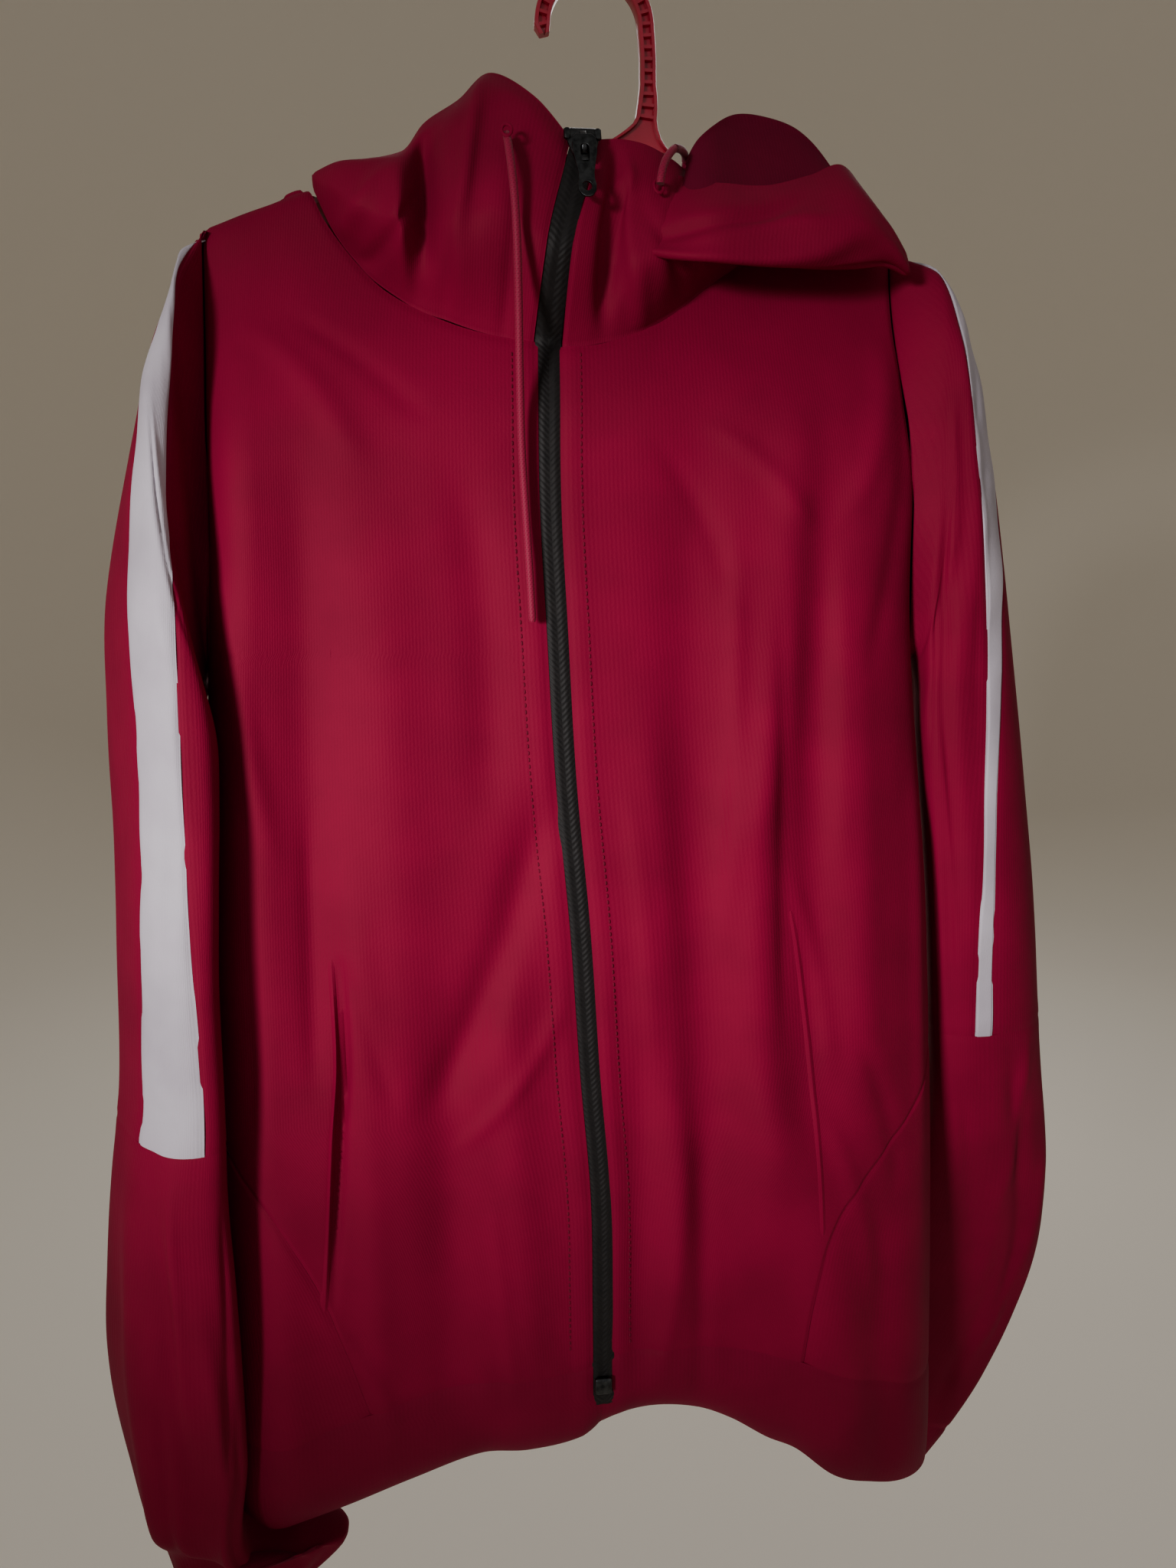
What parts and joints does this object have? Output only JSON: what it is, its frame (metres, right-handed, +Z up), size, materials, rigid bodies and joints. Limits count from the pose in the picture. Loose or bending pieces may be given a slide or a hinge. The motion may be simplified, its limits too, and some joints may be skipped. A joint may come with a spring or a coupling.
{
  "type": "zip hoodie on a hanger",
  "caption": "Hooded full-zip track jacket in smooth tricot with contrast sleeve stripes, hanging on a moulded plastic hanger, hood folded over one shoulder.",
  "frame": {"origin": "inner top of the hanger's hook, where a rail carries it", "axes": "+X towards the wearer's left, +Y towards the wall behind the garment's back, +Z up"},
  "size_m": [0.5862, 0.14, 0.92],
  "materials": {
    "tricot_crimson": "brushed smooth polyester tricot",
    "rib_crimson": "folded double tricot band",
    "tricot_white": "smooth white tricot",
    "braid_crimson": "round braided polyester cord",
    "zip_tape_black": "woven zip tape with a reverse coil",
    "zip_steel": "darkened plated metal",
    "polypropylene_red": "glossy injection-moulded plastic"
  },
  "bodies": {
    "root": {"front_right": "tricot_crimson", "front_left": "tricot_crimson", "side_right": "tricot_crimson", "side_left": "tricot_crimson", "back": "tricot_crimson", "pocket_right": "tricot_crimson", "pocket_left": "tricot_crimson", "hem_right": "rib_crimson", "hem_left": "rib_crimson", "hem_back": "rib_crimson", "stripe_right": "tricot_white", "sleeve_front_right": "tricot_crimson", "sleeve_back_right": "tricot_crimson", "forearm_right": "tricot_crimson", "cuff_right": "rib_crimson", "stripe_left": "tricot_white", "sleeve_front_left": "tricot_crimson", "sleeve_back_left": "tricot_crimson", "forearm_left": "tricot_crimson", "cuff_left": "rib_crimson", "hood_right": "tricot_crimson", "hood_left": "tricot_crimson", "hood_flap": "tricot_crimson", "hood_back": "tricot_crimson", "drawcord_right": "braid_crimson", "drawcord_left": "braid_crimson", "zip_right": "zip_tape_black", "zip_left": "zip_tape_black", "zip_slider": "zip_steel", "zip_stop": "zip_steel", "hanger_hook": "polypropylene_red", "hanger_arms": "polypropylene_red"},
    "pull": {"zip_pull": "zip_steel"}
  },
  "joints": [
    {"name": "pull_swing", "type": "hinge", "parent": "root", "child": "pull", "pos_m": [-0.01204, -0.04901, -0.0915], "axis": [1, 0, 0], "range_deg": [-100, 0]}
  ]
}
